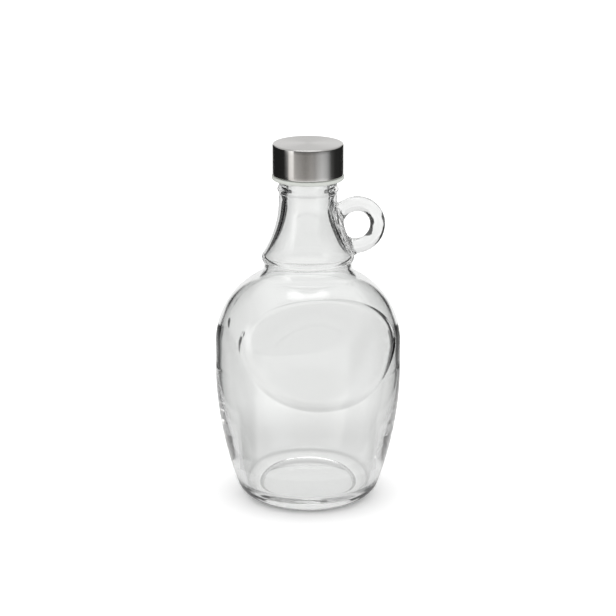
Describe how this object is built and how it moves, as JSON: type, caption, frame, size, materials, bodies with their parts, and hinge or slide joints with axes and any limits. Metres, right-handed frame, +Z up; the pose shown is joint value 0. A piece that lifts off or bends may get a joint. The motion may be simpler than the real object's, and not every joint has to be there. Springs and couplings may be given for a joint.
{
  "type": "handled glass bottle",
  "caption": "Clear glass bottle with a ring handle at the neck, flattened oval label panels and a steel screw cap over a plastic insert.",
  "frame": {"origin": "on the plane the bottle stands on, on the bottle's axis, under the middle of its overall box", "axes": "+Z up along the bottle's axis, towards the cap; +X towards the ring handle; the label panels face -Y and +Y"},
  "size_m": [0.0838, 0.0832, 0.1639],
  "materials": {
    "glass": "clear, polished moulded glass",
    "steel": "fine circular brushing on the top, round brushing on the side",
    "plastic": "pale grey-green satin plastic"
  },
  "bodies": {
    "root": {"bottle": "glass", "cap_shell": "steel", "cap_insert": "plastic"}
  },
  "joints": []
}
